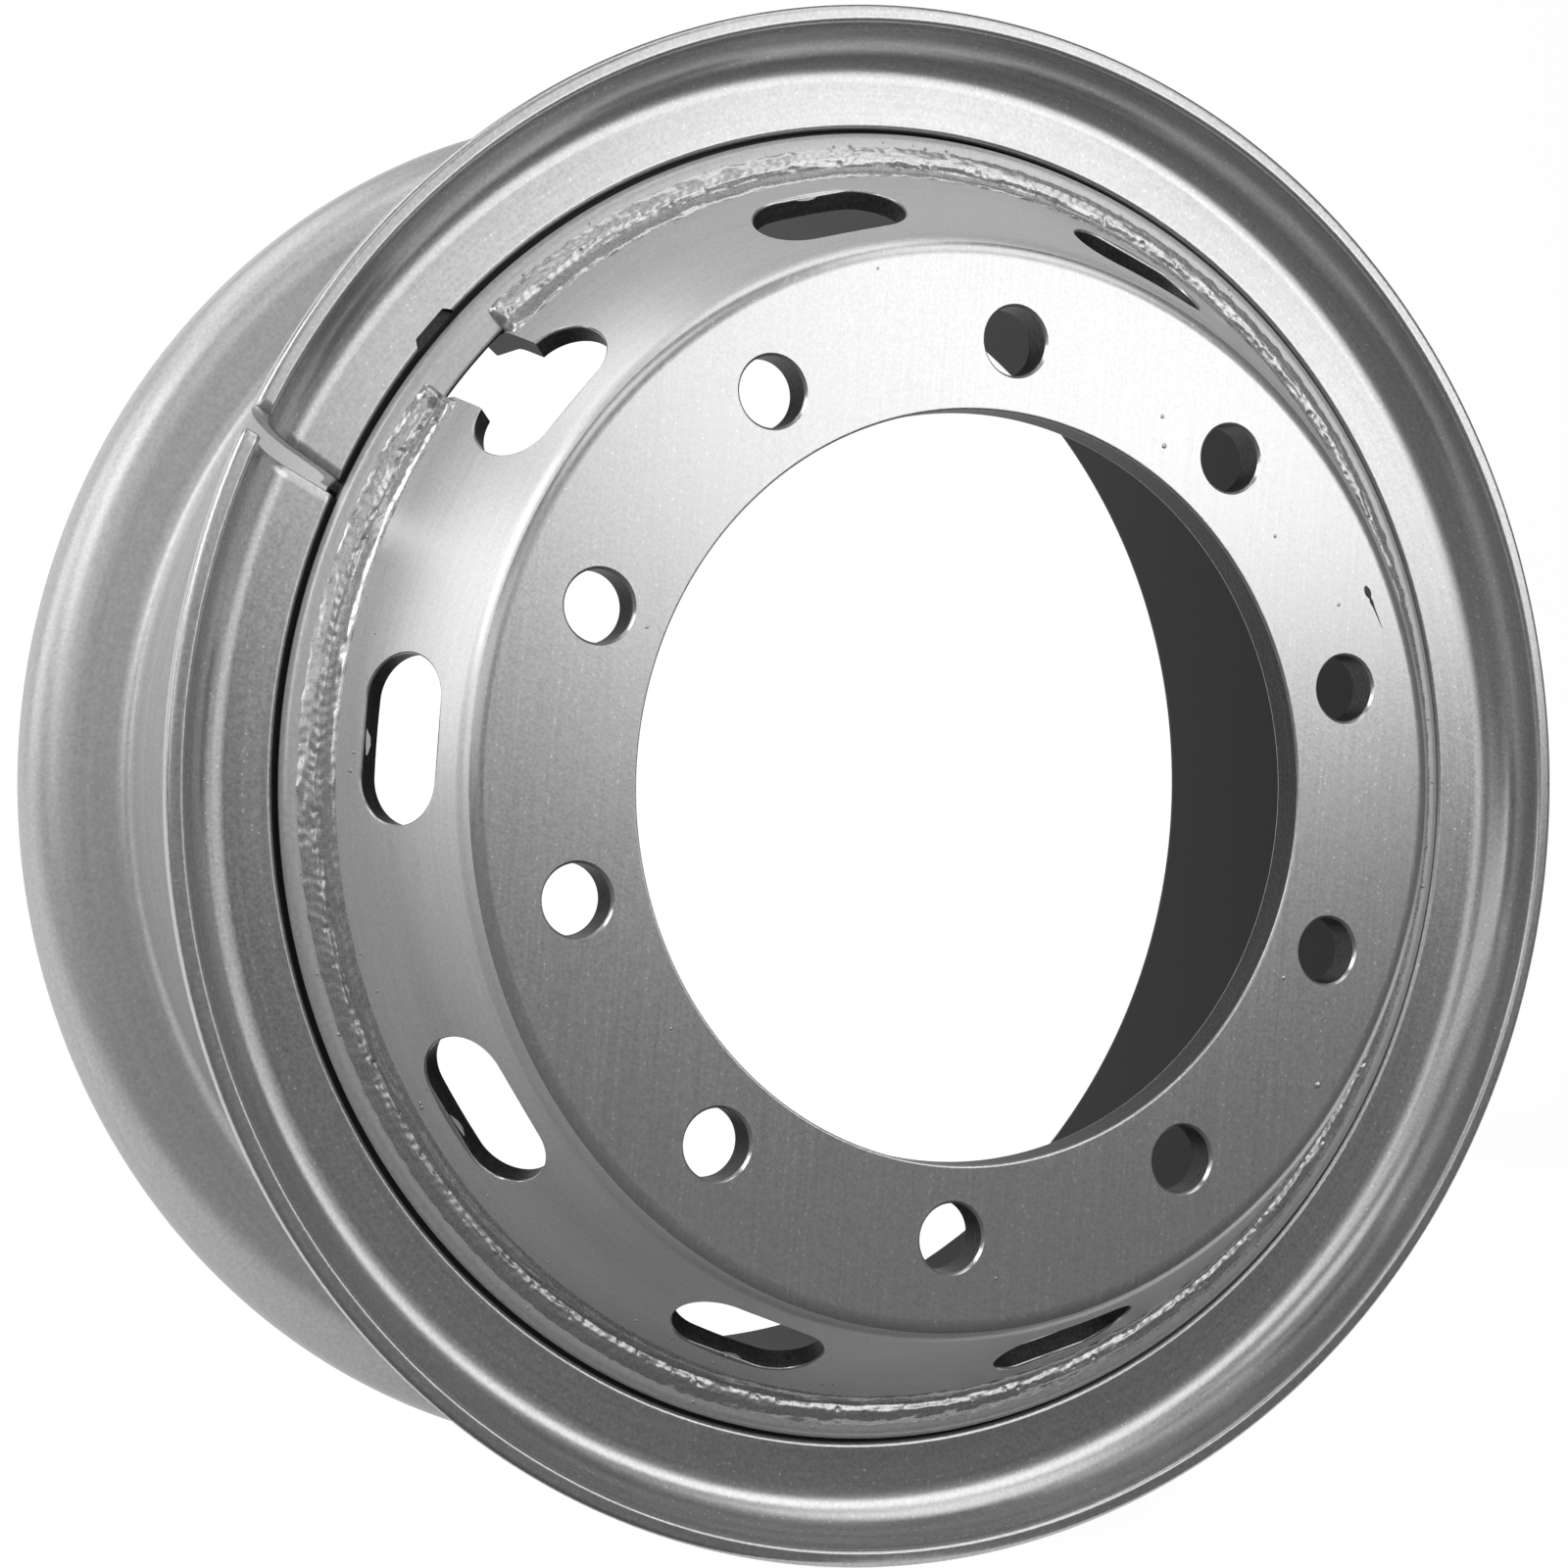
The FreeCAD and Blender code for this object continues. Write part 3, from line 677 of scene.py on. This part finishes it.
rings = []
for step in range(BEAD_STEPS + 1):
    degrees = BEAD_FIRST + (BEAD_LAST - BEAD_FIRST) * step / BEAD_STEPS
    place = degrees * ARC
    end = min(degrees - BEAD_FIRST, BEAD_LAST - degrees) * ARC
    blob = BLOB_HEIGHT * hill(end, BLOB_PLACE, BLOB_SPREAD) - END_DROP * hill(end, 0, END_SPREAD)
    lifts = []
    for t in share:
        hold = min(1.0, 8 * t, 8 * (1 - t))
        lifts.append(hold * (bead_lift(place, t) + blob) + pore_lift(degrees, t))
    section = path + square * np.array(lifts)[:, None]
    section[:, 0] += SWAY * noise.noise((place / 6, 40.0, 0.0)) * np.clip(1 - 4 * share, 0, 1)
    section[:, 0] += SWAY * noise.noise((place / 5, 80.0, 0.0)) * np.clip(4 * share - 3, 0, 1)
    rings.append(around(np.concatenate([section, root]), degrees))
weld = skin("weld_bead", rings)
wear(weld, (weld_paint,))

# %% [markdown]
# Drops of spatter froze on the steel beside the weld, and the paint has covered them. Each is a small dome
# set on the surface that it landed on: the gutter's face or the cone. The seed is fixed, so they fall in
# the same places every time.

# %% Spatter
SPATTER_SEED = 20
SPATTER_COUNT = 70
SPATTER_POINTS = 10
SPATTER_SIZES = (0.35, 0.9)
SPATTER_HEIGHT = 0.6
SPATTER_ON_CONE = 234.4
DOME_POINTS = 12
DOME_LEVELS = ((1.0, -0.3), (0.92, 0.35), (0.7, 0.75), (0.38, 0.94), (0.08, 1.0))


def dome(name, centre, facing, radius, height, points=DOME_POINTS):
    """A low dome on a surface: centre in millimetres, facing the surface's own direction."""
    facing = Vector(facing).normalized()
    side = facing.orthogonal().normalized()
    other = facing.cross(side)
    spin = np.linspace(0, 2 * math.pi, points, endpoint=False)
    edge = np.outer(np.cos(spin), side) + np.outer(np.sin(spin), other)
    rings = []
    for wide, up in DOME_LEVELS:
        rings.append((np.array(centre) + edge * radius * wide + np.array(facing) * height * up) * MM)
    return skin(name, rings)


luck = np.random.default_rng(SPATTER_SEED)
drops = []
for number in range(SPATTER_COUNT):
    out, aside, axle = axes(luck.uniform(BEAD_FIRST, BEAD_LAST))
    size = luck.uniform(*SPATTER_SIZES)
    if number % 2:
        radius = BEAD_OUTER + abs(luck.normal(0, 1.0))
        centre = radius * out + GUTTER_FRONT * axle
        facing = -axle
    else:
        radius = SPATTER_ON_CONE - abs(luck.normal(0, 3.0))
        centre = radius * out + on_cone(radius) * axle
        facing = math.sin(CONE) * out - math.cos(CONE) * axle
    drops.append(dome("spatter", centre, facing, size, size * SPATTER_HEIGHT, SPATTER_POINTS))
    wear(drops[-1], (weld_paint,))
weld = join([weld] + drops)
settle(weld, "disc_weld", SOFT_CREASE)

# %% [markdown]
# ## Marks in the paint
# Nothing sprayed in a workshop is clean. A black run of paint hangs on the face beside one stud hole, with
# a fat head and a thin tail, and a few grains of dust lie under the paint as small nibs. They are thin
# shapes on the face, so the light catches their edges.

# %% A run and some nibs
FORWARD = np.array([0, -1, 0])
RUN_HEAD = np.array([166.0, FACE, 92.3])
RUN_TAIL = np.array([175.0, FACE, 77.4])
RUN_THICK = 0.12
RUN_POINTS = 12
RUN_WIDTHS = ((-0.06, 0.1), (-0.02, 0.9), (0.06, 1.4), (0.14, 1.45), (0.22, 0.9), (0.26, 0.4), (0.3, 0.75),
              (0.37, 0.85), (0.45, 0.5), (0.62, 0.34), (0.8, 0.24), (1.0, 0.08))
# Black paint with no metal in it: a flat, dark streak on the silver.
black_run = finish("black_paint_run", "#3a3a3a", "#2a2a2a", metallic=0.0, roughness=0.45,
                   grain=1.0, bumps=0.01)
down = RUN_TAIL - RUN_HEAD
way = down / np.linalg.norm(down)
beside = np.array([way[2], 0, -way[0]])
spin = np.linspace(0, 2 * math.pi, RUN_POINTS, endpoint=False)
rings = []
for place, wide in RUN_WIDTHS:
    lift = np.sin(spin) * RUN_THICK * (1 + wide)
    across = np.outer(np.cos(spin) * wide, beside)
    rings.append((RUN_HEAD + down * place + across + np.outer(lift, FORWARD)) * MM)
drip = skin("paint_run", rings)
wear(drip, (black_run,))
settle(drip, "wheel_disc", SOFT_CREASE)

NIB_HEIGHT = 0.35
NIBS = ((159.4, -104.6, 1.5), (139.7, -63.5, 1.0), (67.9, 136.6, 1.1), (153.5, 84.4, 0.8),
        (121.3, 107.9, 0.8), (66.1, 147.7, 0.9), (-140.8, 46.1, 0.7), (-120.0, -95.0, 0.7),
        (20.0, -182.0, 0.6), (-60.0, 186.0, 0.6))
nibs = join([dome("dust_nib", (x, FACE, z), FORWARD, size, NIB_HEIGHT * size) for x, z, size in NIBS])
wear(nibs, (disc_paint,))
settle(nibs, "wheel_disc", SOFT_CREASE)

# %% [markdown]
# ## Studio
# A roll of white paper hangs behind the wheel and sweeps round to the floor. Its front edge is cut
# slantwise, just below the picture's lower edge. The paper glows white for the camera, for mirrors and for
# glass. For all other light it is matt and middle grey, a choice that throws little light on the steel. The
# wheel's shadow falls on it, but the glow nearly hides it. In front of it lies a dark studio floor. The
# paint mirrors that floor, which is why the lower half of the disc is so much darker.

# %% Paper and floor
FLOOR = -FLANGE * MM
FLOOR_FRONT = -4.0
FLOOR_BACK = 1.0
FLOOR_DROP = 0.003
FLOOR_ROUGHNESS = 0.9
PAPER_FRONT = -0.128
PAPER_SLANT = 0.123
PAPER_BACK = 2.6
PAPER_BEND = 0.8
PAPER_STEPS = 16
PAPER_TOP = 2.4
PAPER_GLOW = 0.9
HALF = 4.0


def sheet(name, profile, material):
    """A strip across the studio that follows a profile of (along, height, slant)."""
    points = [(x, along - slant * x, up) for along, up, slant in profile for x in (-HALF, HALF)]
    mesh = bpy.data.meshes.new(name)
    mesh.from_pydata(points, [], [(i, i + 1, i + 3, i + 2) for i in range(0, len(points) - 2, 2)])
    mesh.materials.append(material)
    mesh.polygons.foreach_set("use_smooth", [True] * len(mesh.polygons))
    strip = bpy.data.objects.new(name, mesh)
    bpy.context.scene.collection.objects.link(strip)
    print(f"{name}: {len(mesh.polygons)} faces")


# Matt paper that glows only for the eye and for mirrors: a plain white ground.
paper = bpy.data.materials.new("matt_white_paper")
paper.use_nodes = True
tree = paper.node_tree
ray = add_node(tree, "ShaderNodeLightPath", {}).outputs
seen = ray["Is Camera Ray"]
for kind in ("Is Glossy Ray", "Is Transmission Ray"):
    seen = add_node(tree, "ShaderNodeMath", {0: seen, 1: ray[kind]}, operation="MAXIMUM").outputs[0]
strength = add_node(tree, "ShaderNodeMath", {0: seen, 1: PAPER_GLOW}, operation="MULTIPLY").outputs[0]
glow = add_node(tree, "ShaderNodeEmission", {"Color": linear("#ffffff"), "Strength": strength}).outputs[0]
matt = add_node(tree, "ShaderNodeBsdfDiffuse", {"Color": linear("#a0a0a0")}).outputs[0]
both = add_node(tree, "ShaderNodeAddShader", {0: matt, 1: glow}).outputs[0]
tree.links.new(both, tree.nodes["Material Output"].inputs["Surface"])

profile = [(PAPER_FRONT, FLOOR, PAPER_SLANT)]
for step in range(PAPER_STEPS + 1):
    turn = math.pi / 2 * step / PAPER_STEPS
    along = PAPER_BACK - PAPER_BEND * (1 - math.sin(turn))
    profile.append((along, FLOOR + PAPER_BEND * (1 - math.cos(turn)), 0))
sheet("paper_sweep", profile + [(PAPER_BACK, PAPER_TOP, 0)], paper)

# Bare concrete: dark and without a shine, so the paint has something dark to mirror.
concrete = bpy.data.materials.new("dark_studio_floor")
concrete.use_nodes = True
shader = concrete.node_tree.nodes["Principled BSDF"]
shader.inputs["Base Color"].default_value = linear("#505050")
shader.inputs["Roughness"].default_value = FLOOR_ROUGHNESS
sheet("studio_floor", [(along, FLOOR - FLOOR_DROP, 0) for along in (FLOOR_FRONT, FLOOR_BACK)], concrete)

# %% [markdown]
# ## Light
# Satin metal shows its lamps, so they are chosen by what the wheel should mirror. All softboxes stand
# equally far away. Each is given by its turn from straight in front of the wheel, its rise above the axle,
# its width, its height and the brightness of its cloth, where 1 is the white of the paper, because that is
# what the paint mirrors.

# %% Lamps
ROOM = 0.1
LAMP_DISTANCE = 2.5
LAMPS = [
    ("key", 25, 14.5, 0.7, 0.85, 3.0),
    ("key_right", 40, 11, 0.7, 0.5, 2.8),
    ("key_left", 10, 12, 0.65, 0.3, 1.8),
    ("key_high", 30, 38, 1.1, 0.9, 2.2),
    ("horizon", 25, 2.5, 0.7, 0.2, 1.2),
    ("fill", -10, 32, 0.9, 0.6, 2.0),
    ("high", 0, 64, 1.6, 0.9, 2.2),
    ("front_left", -30, 9, 2.6, 0.7, 1.2),
    ("left_front", -62, 28, 1.0, 1.4, 4.4),
    ("left_strip", -52, 1, 0.4, 0.3, 4.0),
    ("left", -98, 18, 1.2, 1.8, 2.4),
    ("left_high", -105, 58, 1.6, 1.0, 2.2),
]
world = bpy.data.worlds.new("studio")
bpy.context.scene.world = world
world.use_nodes = True
world.node_tree.nodes["Background"].inputs["Color"].default_value = linear("#ffffff")
world.node_tree.nodes["Background"].inputs["Strength"].default_value = ROOM


def softbox(name, turn, rise, wide, high, cloth):
    """A softbox that faces the wheel."""
    lamp = bpy.data.lights.new(name, "AREA")
    lamp.shape = "RECTANGLE"
    lamp.size = wide
    lamp.size_y = high
    lamp.energy = math.pi * wide * high * cloth
    box = bpy.data.objects.new(name, lamp)
    turn, rise = math.radians(turn), math.radians(rise)
    level = math.cos(rise)
    box.location = Vector((math.sin(turn) * level, -math.cos(turn) * level, math.sin(rise))) * LAMP_DISTANCE
    box.rotation_euler = (-box.location).to_track_quat("-Z", "Y").to_euler()
    bpy.context.scene.collection.objects.link(box)


for lamp in LAMPS:
    softbox(*lamp)
print("softboxes:", len(LAMPS))

# %% [markdown]
# ## Camera
# The camera stands to the left of the wheel and just under the height of its axle, close enough that the
# near side of the rim looks larger than the far side. Its place and its tilt were measured on the ten stud
# holes and the bore.

# %% Camera
LENS = 73.36
SENSOR = 36.0
CAMERA_PLACE = Vector((-0.5835, -1.1962, -0.0372))
CAMERA_RIGHT = Vector((0.89735, -0.43519, 0.07332))
CAMERA_UP = Vector((-0.07818, 0.00676, 0.99691))
CAMERA_FORWARD = Vector((0.43434, 0.90031, 0.02796))
camera = bpy.data.objects.new("camera", bpy.data.cameras.new("camera"))
camera.data.lens = LENS
camera.data.sensor_width = SENSOR
tilt = Matrix((CAMERA_RIGHT, CAMERA_UP, -CAMERA_FORWARD)).transposed().to_4x4()
camera.matrix_world = Matrix.Translation(CAMERA_PLACE) @ tilt
bpy.context.scene.collection.objects.link(camera)
bpy.context.scene.camera = camera
bpy.context.scene.view_settings.view_transform = "Standard"
print("camera distance:", round(CAMERA_PLACE.length, 3))
